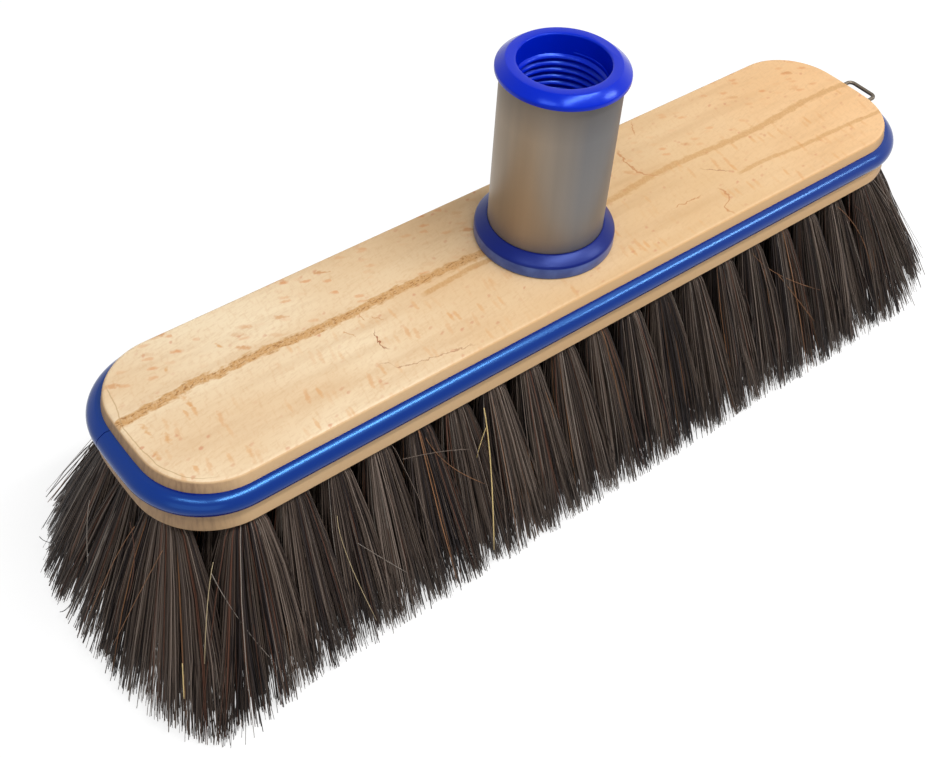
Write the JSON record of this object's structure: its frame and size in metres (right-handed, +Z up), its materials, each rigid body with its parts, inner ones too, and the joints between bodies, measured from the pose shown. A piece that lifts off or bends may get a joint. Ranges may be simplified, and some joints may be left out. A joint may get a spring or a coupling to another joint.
{
  "type": "floor broom head",
  "caption": "Long rounded wooden broom head with flared dark hair tufts, a bumper strip round its edge and an upright threaded socket for a handle.",
  "frame": {"origin": "on the floor under the bristle tips, below the middle of the block, on the axis of the handle socket", "axes": "+X along the block towards the end with the hanging staple, +Y across the block, +Z up along the handle socket"},
  "size_m": [0.3224, 0.1048, 0.124],
  "materials": {
    "beech": "bare planed beech, satin",
    "bumper_vinyl": "glossy blue soft vinyl",
    "insert_plastic": "semi-gloss blue moulded plastic",
    "sleeve_metal": "satin grey",
    "screw_steel": "zinc plated",
    "staple_steel": "dull dark wire",
    "horsehair": "dark brown natural hair",
    "anchor_steel": "flat bright wire"
  },
  "bodies": {
    "root": {"block": "beech", "bumper_strip": "bumper_vinyl", "threaded_insert": "insert_plastic", "socket_sleeve": "sleeve_metal", "base_collar": "insert_plastic", "socket_screw_1": "screw_steel", "socket_screw_2": "screw_steel", "socket_screw_3": "screw_steel", "hanging_staple": "staple_steel", "tuft_row_1": "horsehair", "tuft_row_2": "horsehair", "tuft_row_3": "horsehair", "tuft_row_4": "horsehair", "tuft_row_5": "horsehair", "tuft_anchors_1": "anchor_steel", "tuft_anchors_2": "anchor_steel", "tuft_anchors_3": "anchor_steel", "tuft_anchors_4": "anchor_steel", "tuft_anchors_5": "anchor_steel"}
  },
  "joints": []
}
